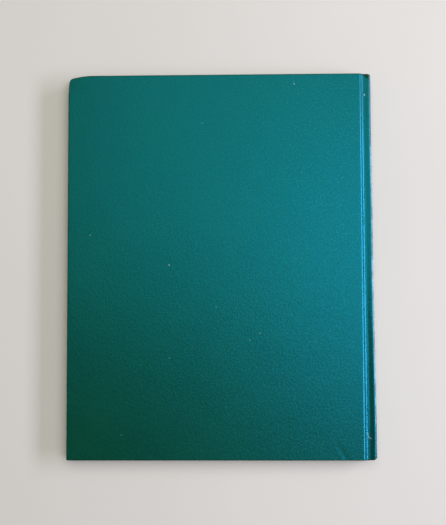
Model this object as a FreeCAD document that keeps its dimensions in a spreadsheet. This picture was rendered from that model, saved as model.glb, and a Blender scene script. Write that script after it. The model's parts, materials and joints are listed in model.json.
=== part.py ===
import FreeCAD, Part
import math
import os
import Sketcher

# A case-bound book that lies on its front cover, all lengths in millimetres.
# +X points to the spine, +Y to the head, +Z up through the thickness.
# The origin is the middle of the book's outline, at the level it lies on.

# Two levels closer than this are the same level
FLAT = 1e-4

doc = FreeCAD.newDocument("HardbackBook")
sheet = doc.addObject("Spreadsheet::Sheet", "Sizes")

# Driving dimensions
SIZES = (
    ("cover_width", 216, "fore edge of the covers to the outermost spine"),
    ("cover_height", 273, "tail to head of the covers"),
    ("board_thickness", 2.2, "greyboard of both covers"),
    ("cloth_thickness", 0.3, "covering cloth with its glue"),
    ("paste_thickness", 0.15, "pastedown half of an endpaper"),
    ("leaf_thickness", 0.15, "flyleaf half of an endpaper"),
    ("block_thickness", 7.8, "all leaves of the text block"),
    ("square", 3, "what the covers stand out past the leaves"),
    ("turn_in", 15, "cloth folded in over the edges"),
    ("edge_round", 0.3, "wear rounding of the boards' edges"),
    ("corner_round", 0.8, "rounding of the covered corners"),
    ("joint_width", 4.5, "board to spine ridge, across the groove"),
    ("ridge_drop", 0.2, "spine ridge below the face of the cover"),
    ("strip_thickness", 1, "card strip in the spine"),
    ("spine_bulge", 0.9, "bulge of the spine of the case"),
    ("back_bulge", 0.8, "bulge of the text block's back"),
    ("fore_hollow", 0.6, "hollow of the text block's fore edge"),
    ("mull_thickness", 0.25, "gauze on the back of the text block"),
    ("mull_short", 15, "gauze short of head and tail"),
    ("flange_width", 25, "gauze on the inside of each board"),
    ("lining_thickness", 0.25, "paper lining over the gauze"),
    ("hollow_gap", 0.15, "clearance between lining and spine turn-in"),
    ("band_width", 1.3, "head band, across the back of the leaves"),
    ("band_rise", 1.1, "head band above the leaves"),
    ("bump_along_head", 17.5, "crushed corner, run along the head edge"),
    ("bump_along_fore", 15.5, "crushed corner, run along the fore edge"),
    ("bump_off_head", 3, "crushed corner, drop from the head edge"),
    ("bump_off_fore", 1.8, "crushed corner, drop from the fore edge"),
)
for row, (alias, value, note) in enumerate(SIZES, start=1):
    sheet.set("A%d" % row, note)
    sheet.set("B%d" % row, str(value))
    sheet.setAlias("B%d" % row, alias)
doc.recompute()


def of_sheet(text):
    """The expression with every alias written as a cell of the sheet."""
    words = text.replace("(", " ( ").replace(")", " ) ").split()
    aliases = [alias for alias, value, note in SIZES]
    return " ".join("Sizes." + word if word in aliases else word for word in words)


def bracket(text):
    return "( " + text + " )"


def mirrored(z_text):
    """The same level measured from the top, for what both covers have."""
    return bracket(THICKNESS + " - " + z_text)


def value_of(text):
    return float(sheet.evalExpression(text))


# Levels and stations, each worked out from the driving dimensions
RIM = "max( Sizes.cloth_thickness ; Sizes.mull_thickness )"
COVER = bracket(RIM + of_sheet(" + cloth_thickness + board_thickness + paste_thickness"))
THICKNESS = bracket("2 * " + COVER + of_sheet(" + block_thickness + 2 * leaf_thickness"))
MIDDLE = bracket(THICKNESS + " / 2")
HINGE_Z = bracket(THICKNESS + " - " + COVER)
BLOCK_TOP = bracket(HINGE_Z + of_sheet(" - leaf_thickness"))
BOARD_OUTSIDE = bracket(THICKNESS + of_sheet(" - cloth_thickness"))
BOARD_INSIDE = bracket(BOARD_OUTSIDE + of_sheet(" - board_thickness"))
TURN_IN_INSIDE = bracket(BOARD_INSIDE + of_sheet(" - cloth_thickness"))
FLANGE_INSIDE = bracket(BOARD_INSIDE + of_sheet(" - mull_thickness"))
PASTE_OUTSIDE = bracket(HINGE_Z + of_sheet(" + paste_thickness"))
GROOVE_FLOOR = bracket(BOARD_INSIDE + of_sheet(" + cloth_thickness"))

HALF_WIDTH = bracket(of_sheet("cover_width / 2"))
HALF_HEIGHT = bracket(of_sheet("cover_height / 2"))
LEAF_HALF_HEIGHT = bracket(HALF_HEIGHT + of_sheet(" - square"))
FORE_EDGE = bracket("0 - " + HALF_WIDTH)
LEAF_FORE_EDGE = bracket(FORE_EDGE + of_sheet(" + square"))
RIDGE_WIDTH = bracket(of_sheet("strip_thickness + 2 * cloth_thickness"))
RIDGE_RADIUS = bracket(RIDGE_WIDTH + " / 2")
RIDGE_OUTSIDE = bracket(HALF_WIDTH + of_sheet(" - spine_bulge"))
RIDGE_INSIDE = bracket(RIDGE_OUTSIDE + " - " + RIDGE_WIDTH)
RIDGE_LEVEL = bracket(THICKNESS + of_sheet(" - ridge_drop - ") + RIDGE_RADIUS)
BOARD_EDGE = bracket(RIDGE_INSIDE + of_sheet(" - joint_width"))
BACK_STACK = bracket(of_sheet("mull_thickness + lining_thickness + hollow_gap"))
HINGE_X = bracket(RIDGE_INSIDE + " - " + BACK_STACK)


def plus(text, name):
    return bracket(text + " + " + of_sheet(name))


def minus(text, name):
    return bracket(text + " - " + of_sheet(name))


def arc_radius(half_chord, rise):
    """Radius of the arc over a chord, from half the chord and the arc's rise."""
    return bracket("( %s ^ 2 + %s ^ 2 ) / ( 2 * %s )" % (half_chord, rise, rise))


def origin_plane(body, role):
    for feature in body.Origin.OriginFeatures:
        if feature.Role == role:
            return feature
    raise RuntimeError("no plane " + role)


def new_body(label):
    body = doc.addObject("PartDesign::Body", label)
    body.Label = label
    body.Placement = FreeCAD.Placement()
    return body


def edge_geometry(start, end, bend):
    """A straight edge, or the short arc that bends left (+) or right (-) on its way."""
    if bend is None:
        return Part.LineSegment(start, end), 1, 2
    side, radius_text = bend
    radius = value_of(radius_text)
    chord = end - start
    left = FreeCAD.Vector(-chord.y, chord.x, 0).normalize()
    back = math.sqrt(max(radius ** 2 - (chord.Length / 2) ** 2, 0))
    centre = (start + end) / 2 + left * (side * back)
    first, last = (start, end) if side > 0 else (end, start)
    angles = [math.atan2(spot.y - centre.y, spot.x - centre.x) for spot in (first, last)]
    circle = Part.Circle(centre, FreeCAD.Vector(0, 0, 1), radius)
    arc = Part.ArcOfCircle(circle, angles[0], angles[1])
    return (arc, 1, 2) if side > 0 else (arc, 2, 1)


def add_loop(sketch, prefix, corners):
    """A closed outline. Each corner is (x, y, bend of the edge that leaves it)."""
    spots = [FreeCAD.Vector(value_of(x), value_of(y), 0) for x, y, bend in corners]
    edges = []
    for place, (x, y, bend) in enumerate(corners):
        end = spots[(place + 1) % len(corners)]
        geometry, start_point, end_point = edge_geometry(spots[place], end, bend)
        edges.append((sketch.addGeometry(geometry), start_point, end_point))
    for place, (x, y, bend) in enumerate(corners):
        edge, start_point, end_point = edges[place]
        following, next_start, next_end = edges[(place + 1) % len(corners)]
        sketch.addConstraint(Sketcher.Constraint("Coincident", edge, end_point, following, next_start))
        for kind, text in (("DistanceX", x), ("DistanceY", y)):
            name = "%s%d%s" % (prefix, place, kind[-1])
            number = sketch.addConstraint(
                Sketcher.Constraint(kind, -1, 1, edge, start_point, value_of(text)))
            sketch.renameConstraint(number, name)
            sketch.setExpression("Constraints." + name, text)
        if bend is not None:
            name = "%s%dR" % (prefix, place)
            number = sketch.addConstraint(Sketcher.Constraint("Radius", edge, value_of(bend[1])))
            sketch.renameConstraint(number, name)
            sketch.setExpression("Constraints." + name, bend[1])


def new_sketch(body, name, role, loops, level=None):
    """A sketch on one of the body's own planes, lifted to a level if one is given."""
    sketch = body.newObject("Sketcher::SketchObject", name)
    sketch.AttachmentSupport = (origin_plane(body, role), [""])
    sketch.MapMode = "FlatFace"
    if level is not None:
        sketch.setExpression("AttachmentOffset.Base.z", level)
    for number, corners in enumerate(loops):
        add_loop(sketch, "loop%d_" % number, corners)
    return sketch


def run(body, kind, name, sketch, length, symmetric=False, downward=False):
    """A pad or pocket of the sketch, as long as the expression says."""
    feature = body.newObject("PartDesign::" + kind, name)
    feature.Profile = sketch
    feature.setExpression("Length", length)
    feature.Midplane = symmetric
    feature.Reversed = downward
    body.Tip = feature
    doc.recompute()
    return feature


def along_book(body, kind, name, corners, length):
    """A profile across the book, seen from the tail, run evenly to head and tail."""
    sketch = new_sketch(body, name + "_profile", "XZ_Plane", [corners])
    return run(body, kind, name, sketch, length, symmetric=True)


def plate(body, kind, name, loops, lower, upper):
    """An outline seen from above, filled or cut from one level up to another."""
    sketch = new_sketch(body, name + "_outline", "XY_Plane", loops, lower)
    length = bracket(upper + " - " + lower)
    return run(body, kind, name, sketch, length, downward=(kind == "Pocket"))


def rectangle(x_low, x_high, y_half):
    y_low = bracket("0 - " + y_half)
    return [(x_low, y_low, None), (x_high, y_low, None), (x_high, y_half, None), (x_low, y_half, None)]


def flip(corners):
    """The same profile on the front cover's side, turned over and walked backwards."""
    turned = []
    for place in range(len(corners) - 1, -1, -1):
        x, z, leaving = corners[place]
        bend = corners[place - 1][2]
        turned.append((x, mirrored(z), bend))
    return turned


def cover_outline(inset, bumped):
    """Outline of a cover, set in from the covered edge. The bump is the crushed corner."""
    fore = bracket(FORE_EDGE + " + " + inset)
    head = bracket(HALF_HEIGHT + " - " + inset)
    tail = bracket("0 - " + head)
    turn = bracket(of_sheet("corner_round"))
    fore_turn = bracket(fore + " + " + turn)
    corners = [(fore_turn, tail, None), (BOARD_EDGE, tail, None), (BOARD_EDGE, head, None)]
    if bumped:
        head_run = bracket(of_sheet("bump_along_head - bump_off_fore"))
        fore_run = bracket(of_sheet("bump_along_fore - bump_off_head"))
        head_arc = arc_radius(head_run, bracket(of_sheet("bump_off_head")))
        fore_arc = arc_radius(fore_run, bracket(of_sheet("bump_off_fore")))
        corners.append((plus(fore, "bump_along_head"), head, (1, head_arc)))
        corners.append((plus(fore, "bump_off_fore"), minus(head, "bump_off_head"), (1, fore_arc)))
        corners.append((fore, minus(head, "bump_along_fore"), None))
    else:
        corners.append((fore_turn, head, (1, turn)))
        corners.append((fore, bracket(head + " - " + turn), None))
    corners.append((fore, bracket(tail + " + " + turn), (1, turn)))
    return corners


def levels(side, lower, upper):
    """Two levels of the back cover, or the same two turned over for the front cover."""
    return (lower, upper) if side == "back" else (mirrored(upper), mirrored(lower))


def add_board(side, bumped):
    body = new_body(side + "_board")
    outline = cover_outline(bracket(of_sheet("cloth_thickness")), bumped)
    lower, upper = levels(side, BOARD_INSIDE, BOARD_OUTSIDE)
    plate(body, "Pad", "board", [outline], lower, upper)


def add_cover_cloth(side, bumped):
    """Cloth on the outside of a board, over its three free edges and turned in."""
    body = new_body(side + "_cover_cloth")
    lower, upper = levels(side, BOARD_INSIDE, THICKNESS)
    sheet_pad = plate(body, "Pad", "cloth", [cover_outline("0", bumped)], lower, upper)
    outside = upper if side == "back" else lower
    rounding = body.newObject("PartDesign::Fillet", "edge")
    rounding.Base = (sheet_pad, free_edges(sheet_pad.Shape, value_of(outside)))
    rounding.setExpression("Radius", of_sheet("edge_round + cloth_thickness"))
    body.Tip = rounding
    doc.recompute()
    board = cover_outline(bracket(of_sheet("cloth_thickness")), bumped)
    lower, upper = levels(side, BOARD_INSIDE, BOARD_OUTSIDE)
    plate(body, "Pocket", "board_space", [board], lower, upper)
    window = rectangle(plus(FORE_EDGE, "turn_in"), BOARD_EDGE, minus(HALF_HEIGHT, "turn_in"))
    lower, upper = levels(side, TURN_IN_INSIDE, BOARD_INSIDE)
    plate(body, "Pad", "turn_in", [cover_outline("0", bumped)], lower, upper)
    plate(body, "Pocket", "window", [window], lower, upper)


def free_edges(shape, level):
    """Names of the edges at a level that don't lie along the joint."""
    names = []
    joint = value_of(BOARD_EDGE)
    for number, edge in enumerate(shape.Edges, start=1):
        box = edge.BoundBox
        flat = abs(box.ZMin - level) < FLAT and abs(box.ZMax - level) < FLAT
        if flat and box.XMin < joint - FLAT:
            names.append("Edge%d" % number)
    return names


def add_pastedown(side):
    """Pastedown: its rim lies over turn-ins and gauze, its middle on the board."""
    body = new_body(side + "_pastedown")
    leaf = rectangle(LEAF_FORE_EDGE, BOARD_EDGE, LEAF_HALF_HEIGHT)
    tray = rectangle(
        plus(FORE_EDGE, "turn_in"), minus(BOARD_EDGE, "flange_width"), minus(HALF_HEIGHT, "turn_in"))
    dip = rectangle(
        plus(plus(FORE_EDGE, "turn_in"), "paste_thickness"),
        minus(minus(BOARD_EDGE, "flange_width"), "paste_thickness"),
        minus(minus(HALF_HEIGHT, "turn_in"), "paste_thickness"))
    lower, upper = levels(side, HINGE_Z, PASTE_OUTSIDE)
    plate(body, "Pad", "leaf", [leaf], lower, upper)
    lower, upper = levels(side, HINGE_Z, BOARD_INSIDE)
    plate(body, "Pad", "tray", [tray], lower, upper)
    lower, upper = levels(side, HINGE_Z, minus(BOARD_INSIDE, "paste_thickness"))
    plate(body, "Pocket", "dip", [dip], lower, upper)


def add_mull_flange(side):
    """Gauze from the back of the leaves, over the joint, on to the board."""
    body = new_body(side + "_mull_flange")
    flange = rectangle(
        minus(BOARD_EDGE, "flange_width"), HINGE_X, minus(LEAF_HALF_HEIGHT, "mull_short"))
    lower, upper = levels(side, FLANGE_INSIDE, BOARD_INSIDE)
    plate(body, "Pad", "flange", [flange], lower, upper)


def add_flyleaf(side):
    """Flyleaf on the leaves, with the strip that crosses the joint to the pastedown."""
    body = new_body(side + "_flyleaf")
    corners = [
        (LEAF_FORE_EDGE, BLOCK_TOP, None),
        (HINGE_X, BLOCK_TOP, None),
        (HINGE_X, PASTE_OUTSIDE, None),
        (BOARD_EDGE, PASTE_OUTSIDE, None),
        (BOARD_EDGE, HINGE_Z, None),
        (LEAF_FORE_EDGE, HINGE_Z, None),
    ]
    profile = corners if side == "back" else flip(corners)
    along_book(body, "Pad", "leaf", profile, bracket("2 * " + LEAF_HALF_HEIGHT))


def add_joint_cloth(side):
    """Cloth over the board's spine edge and down into the pressed joint."""
    body = new_body(side + "_joint_cloth")
    cloth = of_sheet("cloth_thickness")
    outer_turn = bracket(of_sheet("edge_round + cloth_thickness"))
    inner_turn = bracket(of_sheet("edge_round"))
    shoulder = bracket(THICKNESS + " - " + outer_turn)
    wall = bracket(BOARD_EDGE + " + " + outer_turn)
    inner_wall = bracket(BOARD_EDGE + " + " + inner_turn)
    inner_ridge = bracket(RIDGE_INSIDE + " + " + cloth)
    half = bracket("( %s - %s ) / 2" % (RIDGE_INSIDE, wall))
    inner_half = bracket("( %s - %s ) / 2" % (inner_ridge, inner_wall))
    outer_arc = arc_radius(half, bracket(RIDGE_LEVEL + " - " + GROOVE_FLOOR))
    inner_arc = arc_radius(inner_half, bracket(RIDGE_LEVEL + " - " + BOARD_INSIDE))
    corners = [
        (BOARD_EDGE, BOARD_OUTSIDE, (-1, inner_turn)),
        (inner_wall, shoulder, None),
        (inner_wall, RIDGE_LEVEL, (1, inner_arc)),
        (inner_ridge, RIDGE_LEVEL, None),
        (RIDGE_INSIDE, RIDGE_LEVEL, (-1, outer_arc)),
        (wall, RIDGE_LEVEL, None),
        (wall, shoulder, (1, outer_turn)),
        (BOARD_EDGE, THICKNESS, None),
    ]
    profile = corners if side == "back" else flip(corners)
    along_book(body, "Pad", "cloth", profile, of_sheet("cover_height"))


SPINE_HALF = bracket(RIDGE_LEVEL + " - " + MIDDLE)
SPINE_ARC = arc_radius(SPINE_HALF, bracket(of_sheet("spine_bulge")))
TURN_HALF = bracket(TURN_IN_INSIDE + " - " + MIDDLE)
TURN_STATION = bracket(
    "%s + %s - %s + sqrt( %s ^ 2 - %s ^ 2 )"
    % (plus(RIDGE_INSIDE, "cloth_thickness"), of_sheet("spine_bulge"), SPINE_ARC, SPINE_ARC, TURN_HALF))


def strip_corners():
    """Profile of the spine strip: a bowed card with rounded long edges."""
    tip = bracket(of_sheet("strip_thickness / 2"))
    inside = plus(RIDGE_INSIDE, "cloth_thickness")
    outside = minus(RIDGE_OUTSIDE, "cloth_thickness")
    ridge = bracket(inside + " + " + tip)
    high = bracket(RIDGE_LEVEL + " + " + tip)
    return [
        (outside, mirrored(RIDGE_LEVEL), (1, SPINE_ARC)),
        (outside, RIDGE_LEVEL, (1, tip)),
        (ridge, high, (1, tip)),
        (inside, RIDGE_LEVEL, (-1, SPINE_ARC)),
        (inside, mirrored(RIDGE_LEVEL), (1, tip)),
        (ridge, mirrored(high), (1, tip)),
    ]


def turn_corners():
    """Profile of the turned-in cloth on the inside of the spine strip."""
    inner = minus(TURN_STATION, "cloth_thickness")
    return [
        (TURN_STATION, mirrored(TURN_IN_INSIDE), (1, SPINE_ARC)),
        (TURN_STATION, TURN_IN_INSIDE, None),
        (inner, TURN_IN_INSIDE, (-1, SPINE_ARC)),
        (inner, mirrored(TURN_IN_INSIDE), None),
    ]


def add_spine_strip():
    body = new_body("spine_strip")
    length = bracket(of_sheet("cover_height - 2 * cloth_thickness"))
    along_book(body, "Pad", "strip", strip_corners(), length)


def add_spine_cloth():
    """Cloth round the spine strip, folded in over it at head and tail."""
    body = new_body("spine_cloth")
    ridge = bracket(RIDGE_INSIDE + " + " + RIDGE_RADIUS)
    high = bracket(RIDGE_LEVEL + " + " + RIDGE_RADIUS)
    inside = plus(RIDGE_INSIDE, "cloth_thickness")
    corners = [
        (RIDGE_OUTSIDE, mirrored(RIDGE_LEVEL), (1, SPINE_ARC)),
        (RIDGE_OUTSIDE, RIDGE_LEVEL, (1, RIDGE_RADIUS)),
        (ridge, high, (1, RIDGE_RADIUS)),
        (RIDGE_INSIDE, RIDGE_LEVEL, None),
        (inside, RIDGE_LEVEL, (-1, SPINE_ARC)),
        (inside, mirrored(RIDGE_LEVEL), None),
        (RIDGE_INSIDE, mirrored(RIDGE_LEVEL), (1, RIDGE_RADIUS)),
        (ridge, mirrored(high), (1, RIDGE_RADIUS)),
    ]
    along_book(body, "Pad", "cloth", corners, of_sheet("cover_height"))
    along_book(body, "Pad", "turn_in", turn_corners(), of_sheet("cover_height"))
    along_book(body, "Pocket", "strip_space", strip_corners(),
               bracket(of_sheet("cover_height - 2 * cloth_thickness")))
    along_book(body, "Pocket", "window", turn_corners(), bracket(of_sheet("cover_height - 2 * turn_in")))


BLOCK_HALF = bracket(BLOCK_TOP + " - " + MIDDLE)
BACK_ARC = arc_radius(BLOCK_HALF, bracket(of_sheet("back_bulge")))


def add_text_block():
    """All leaves as one solid, with a bulged back and a hollow fore edge."""
    body = new_body("text_block")
    fore_arc = arc_radius(BLOCK_HALF, bracket(of_sheet("fore_hollow")))
    corners = [
        (LEAF_FORE_EDGE, mirrored(BLOCK_TOP), None),
        (HINGE_X, mirrored(BLOCK_TOP), (1, BACK_ARC)),
        (HINGE_X, BLOCK_TOP, None),
        (LEAF_FORE_EDGE, BLOCK_TOP, (-1, fore_arc)),
    ]
    along_book(body, "Pad", "leaves", corners, bracket("2 * " + LEAF_HALF_HEIGHT))


def add_spine_mull():
    """Gauze on the back of the leaves, as far up and down as its flanges."""
    body = new_body("spine_mull")
    outside = plus(HINGE_X, "mull_thickness")
    corners = [
        (HINGE_X, mirrored(BOARD_INSIDE), None),
        (outside, mirrored(BOARD_INSIDE), None),
        (outside, mirrored(BLOCK_TOP), (1, BACK_ARC)),
        (outside, BLOCK_TOP, None),
        (outside, BOARD_INSIDE, None),
        (HINGE_X, BOARD_INSIDE, None),
        (HINGE_X, BLOCK_TOP, (-1, BACK_ARC)),
        (HINGE_X, mirrored(BLOCK_TOP), None),
    ]
    length = bracket("2 * " + minus(LEAF_HALF_HEIGHT, "mull_short"))
    along_book(body, "Pad", "gauze", corners, length)


def add_spine_lining():
    """Paper over the gauze, from head to tail of the leaves."""
    body = new_body("spine_lining")
    inside = plus(HINGE_X, "mull_thickness")
    outside = plus(inside, "lining_thickness")
    corners = [
        (outside, mirrored(BLOCK_TOP), (1, BACK_ARC)),
        (outside, BLOCK_TOP, None),
        (inside, BLOCK_TOP, (-1, BACK_ARC)),
        (inside, mirrored(BLOCK_TOP), None),
    ]
    along_book(body, "Pad", "lining", corners, bracket("2 * " + LEAF_HALF_HEIGHT))


def add_end_band(label, direction):
    """Rounded sewn band on the end of the leaves, beside their back."""
    body = new_body(label)
    near = LEAF_HALF_HEIGHT
    far = plus(LEAF_HALF_HEIGHT, "band_rise")
    low = minus(HINGE_X, "band_width")
    half = bracket(of_sheet("band_width / 2"))
    middle = bracket(low + " + " + half)
    turn = arc_radius(half, bracket(of_sheet("band_rise")))
    if direction < 0:
        near = bracket("0 - " + near)
        far = bracket("0 - " + far)
    corners = [(low, near, None), (HINGE_X, near, (direction, turn)), (middle, far, (direction, turn))]
    plate(body, "Pad", "band", [corners], mirrored(BLOCK_TOP), BLOCK_TOP)


add_text_block()
for cover_side in ("back", "front"):
    add_flyleaf(cover_side)
    add_board(cover_side, cover_side == "back")
    add_cover_cloth(cover_side, cover_side == "back")
    add_pastedown(cover_side)
    add_mull_flange(cover_side)
    add_joint_cloth(cover_side)
add_spine_mull()
add_spine_lining()
add_spine_strip()
add_spine_cloth()
add_end_band("head_band", 1)
add_end_band("tail_band", -1)
doc.recompute()

for item in doc.Objects:
    if "Invalid" in item.State or "Error" in item.State:
        raise RuntimeError("%s failed: %s" % (item.Label, item.State))

os.makedirs("parts", exist_ok=True)
for body in doc.findObjects("PartDesign::Body"):
    shape = body.Shape
    if shape.isNull() or not shape.isValid():
        raise RuntimeError(body.Label + " has no valid shape")
    shape.exportStep("parts/%s.step" % body.Label)
    box = shape.optimalBoundingBox()
    print("%-18s solids %d volume %10.1f  x %8.2f %8.2f  y %8.2f %8.2f  z %6.2f %6.2f" % (
        body.Label, len(shape.Solids), shape.Volume, box.XMin, box.XMax, box.YMin, box.YMax,
        box.ZMin, box.ZMax))
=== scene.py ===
import json
import math
import random

import bmesh
import bpy
from mathutils import Matrix, Vector, noise


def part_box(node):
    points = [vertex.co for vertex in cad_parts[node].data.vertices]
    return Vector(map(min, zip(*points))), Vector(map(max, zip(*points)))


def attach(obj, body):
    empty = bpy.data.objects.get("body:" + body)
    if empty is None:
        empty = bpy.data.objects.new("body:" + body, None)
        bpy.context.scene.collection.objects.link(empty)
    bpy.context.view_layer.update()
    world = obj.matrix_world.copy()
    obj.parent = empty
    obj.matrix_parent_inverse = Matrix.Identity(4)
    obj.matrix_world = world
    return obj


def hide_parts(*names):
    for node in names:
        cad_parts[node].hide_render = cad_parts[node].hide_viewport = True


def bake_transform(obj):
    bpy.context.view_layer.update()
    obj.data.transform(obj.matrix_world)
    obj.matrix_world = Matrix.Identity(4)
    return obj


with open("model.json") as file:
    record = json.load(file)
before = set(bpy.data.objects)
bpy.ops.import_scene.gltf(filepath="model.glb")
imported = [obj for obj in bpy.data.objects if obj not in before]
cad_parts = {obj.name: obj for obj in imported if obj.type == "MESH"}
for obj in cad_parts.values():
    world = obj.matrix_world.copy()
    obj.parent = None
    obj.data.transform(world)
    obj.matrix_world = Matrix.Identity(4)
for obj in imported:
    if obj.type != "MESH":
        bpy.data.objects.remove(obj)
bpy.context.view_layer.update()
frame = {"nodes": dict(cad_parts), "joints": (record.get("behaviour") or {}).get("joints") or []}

bl_info = {
    "name": "Cloth Hardback Book",
    "version": (1, 0, 0),
    "blender": (4, 5, 0),
    "location": "3D View > Sidebar > Book",
    "description": "Dresses the solids of a book: cloth case, leaves, endpapers and bands",
    "category": "Object",
}

MM = 0.001

# Stations of the book, read from the solids. X runs from the fore edge to the spine.
COVER_LOW, COVER_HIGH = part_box("back_cover_cloth")
LEAF_LOW, LEAF_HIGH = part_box("text_block")
RIDGE_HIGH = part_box("spine_cloth")[1]
FORE = COVER_LOW.x
HEAD = COVER_HIGH.y
TOP = COVER_HIGH.z
BOARD_EDGE = COVER_HIGH.x
BOARD_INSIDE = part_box("back_board")[0].z
TURN_INSIDE = COVER_LOW.z
PASTE_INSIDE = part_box("back_pastedown")[0]
FLY_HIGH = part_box("back_flyleaf")[1]
HINGE = Vector(frame["joints"][0]["pos_m"])
MIDDLE = TOP / 2
SIDES = ("back", "front")

# Board edge, joint and spine of the case in section, in millimetres: how far past the board's edge
# and how deep under the cover's face the cloth lies outside, and the same two lengths inside.
CASE_SECTION = (
    (-1.4, 0.0, -1.4, 2.8), (-1.05, 0.04, -1.0, 2.8),
    (-0.65, 0.22, -0.6, 2.8), (-0.2, 0.44, -0.25, 2.8),
    (0.15, 0.54, 0.02, 2.6), (0.5, 0.61, 0.06, 2.0),
    (0.85, 0.77, 0.12, 1.5), (1.3, 1.0, 0.95, 1.5),
    (1.6, 1.1, 1.45, 1.66), (1.95, 1.13, 1.95, 1.73),
    (2.4, 1.08, 2.45, 1.68), (3.0, 0.98, 3.05, 1.56),
    (3.6, 0.86, 3.65, 1.44), (4.1, 0.76, 4.15, 1.36),
    (4.55, 0.68, 4.5, 1.5), (5.0, 0.63, 4.6, 2.2),
    (5.4, 0.7, 4.61, 2.5), (5.75, 0.88, 4.63, 2.75),
    (6.15, 1.12, 4.7, 2.95), (6.55, 1.4, 4.86, 3.4),
    (6.8, 2.2, 5.14, 4.3), (6.93, 4.4, 5.33, 5.3),
    (7.0, 6.2, 5.4, 6.3), (7.0, 7.0, 5.4, 7.0),
)
SECTION_STEPS = 3

# Pale specks and scratches on the back cover, and one painted highlight: place in X and Y, way to
# their other end, half width in millimetres, and strength.
SCUFFS_AND_GLINT = (
    (53.4, 129.2, 0.3, -0.2, 0.45, 0.7),
    (53.0, 131.0, 0.2, -0.1, 0.3, 0.4),
    (-12.2, 101.5, 0.4, -0.2, 0.35, 0.35),
    (-92.0, 21.8, 0.3, -0.2, 0.4, 0.5),
    (-35.8, 0.3, 0.2, -0.1, 0.45, 0.8),
    (-2.7, -29.5, 0.3, -0.2, 0.35, 0.35),
    (28.0, -47.7, 0.5, -0.3, 0.35, 0.4),
    (21.0, -52.7, 0.3, -0.2, 0.4, 0.5),
    (-35.8, -65.2, 0.3, -0.2, 0.35, 0.3),
    (-69.5, -118.7, 0.3, -0.2, 0.35, 0.3),
    # This entry is a painted highlight on the pimple in the joint
    (103.2, 121.6, 0.2, -1.0, 0.55, 0.8),
    (102.7, -117.0, 0.8, -3.9, 0.25, 0.55),
    (103.6, -120.3, 1.8, -1.3, 0.3, 0.5),
)

# Colours of wear, of painted sheen and highlights on the cloth, and of what lies inside the book
# Pale specks painted into the cloth, stronger towards the spine: painted sheen glinting on the
# grain
PAINTED_SHEEN_SPECK = (0.009, 0.095, 0.065)
# Bluer colour painted into the joint: painted reflection of the sheen in its groove
JOINT_SHEEN_PAINT = (0.003, 0.045, 0.03)
# Pale colour on the top of the ridge: a painted highlight, together with the ridge's wear
RIDGE_HIGHLIGHT_AND_RUB_COLOUR = (0.26, 0.38, 0.41)
# Colour of pale specks and scratches, and of one painted highlight on the joint's pimple
SCUFF_AND_GLINT_COLOUR = (0.3, 0.42, 0.42)
CREAM_THREAD, GREEN_THREAD = (0.66, 0.6, 0.45), (0.01, 0.11, 0.08)
GAUZE_GAP, GAUZE_THREAD = (0.45, 0.4, 0.3), (0.72, 0.68, 0.58)
BOARD_COLOUR, CARD_COLOUR, LINING_COLOUR = (0.3, 0.27, 0.22), (0.34, 0.29, 0.22), (0.42, 0.31, 0.19)

# Crease of the back cover: its two ends, its ridge and the hollow beside it
CREASE_START = Vector((79.9 * MM, -127.5 * MM))
CREASE_END = Vector((84.9 * MM, -136.0 * MM))
CREASE_RIDGE, CREASE_RIDGE_WIDTH = 0.06 * MM, 0.7 * MM
CREASE_HOLLOW, CREASE_HOLLOW_WIDTH, CREASE_HOLLOW_OFF = 0.12 * MM, 1.5 * MM, 2.3 * MM

# Pimple and groove in the joint. PAST is the way past the board's edge.
PIMPLE_PAST, PIMPLE_Y, PIMPLE_HEIGHT, PIMPLE_WIDTH = 2.3 * MM, 121 * MM, 0.4 * MM, 0.7 * MM
GROOVE_PAST, GROOVE_DEPTH, GROOVE_WIDTH = 2.5 * MM, 0.18 * MM, 1.2 * MM

# Spine: pull of its outermost cloth at the tail, direction in which its head corner is bent, and
# how far it stands off at the head and how much more at mid height, as shares of the splay
TAIL_PULL = 1.5 * MM
FOLD_X, FOLD_Y = 0.571, 0.821
LEAN_HEAD, LEAN_MIDDLE = 0.25, 0.35

# Height at which the worn front cover is held clear of the floor
FRONT_LIFT = 0.06 * MM

# Points closer than this become one
MERGE = 0.004 * MM

# Cuts that let boards and spine strip follow the worn cloth: their numbers on a board, their places
# on the strip in millimetres, and how far the strip ends inside the cloth
BOARD_CUTS = range(1, 18)
STRIP_CUTS = list(range(-135, 115, 12)) + list(range(115, 136, 3))
STRIP_END = 1.2 * MM


# Sizes and colours that a user would change

def length_setting(name, description, default, precision=4):
    return bpy.props.FloatProperty(name=name, description=description, default=default,
                                   unit="LENGTH", precision=precision)


def colour_setting(name, description, default):
    return bpy.props.FloatVectorProperty(name=name, description=description, default=default,
                                         size=3, min=0, max=1, subtype="COLOR")


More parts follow.
